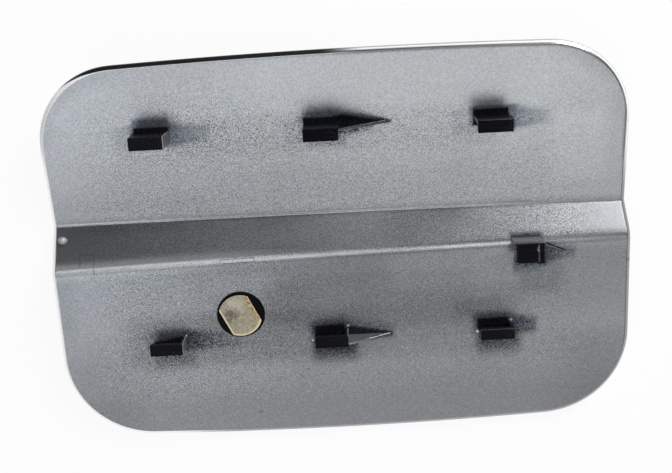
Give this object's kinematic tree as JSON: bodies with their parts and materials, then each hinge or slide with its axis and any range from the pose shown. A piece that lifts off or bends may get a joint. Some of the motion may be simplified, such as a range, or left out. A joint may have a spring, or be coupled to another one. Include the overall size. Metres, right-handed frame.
{
  "type": "car fuel door outer panel",
  "caption": "Rounded, creased outer skin panel of a car fuel door, seen from its back, with slide-on hooks, a catch hook, gusset ribs and a round paper label.",
  "frame": {"origin": "middle of the footprint at the lowest point of the outer face, which lies down", "axes": "+X along the panel's width, +Y up the door towards the taller hooks, +Z out of the back of the panel"},
  "size_m": [0.2056, 0.1398, 0.0238],
  "materials": {
    "silver_moulding": "black plastic moulding painted metallic silver, with overspray on its back and bare black hook tops",
    "label_paper": "worn tan paper"
  },
  "bodies": {
    "root": {"door_panel": "silver_moulding", "paint_label": "label_paper"}
  },
  "joints": []
}
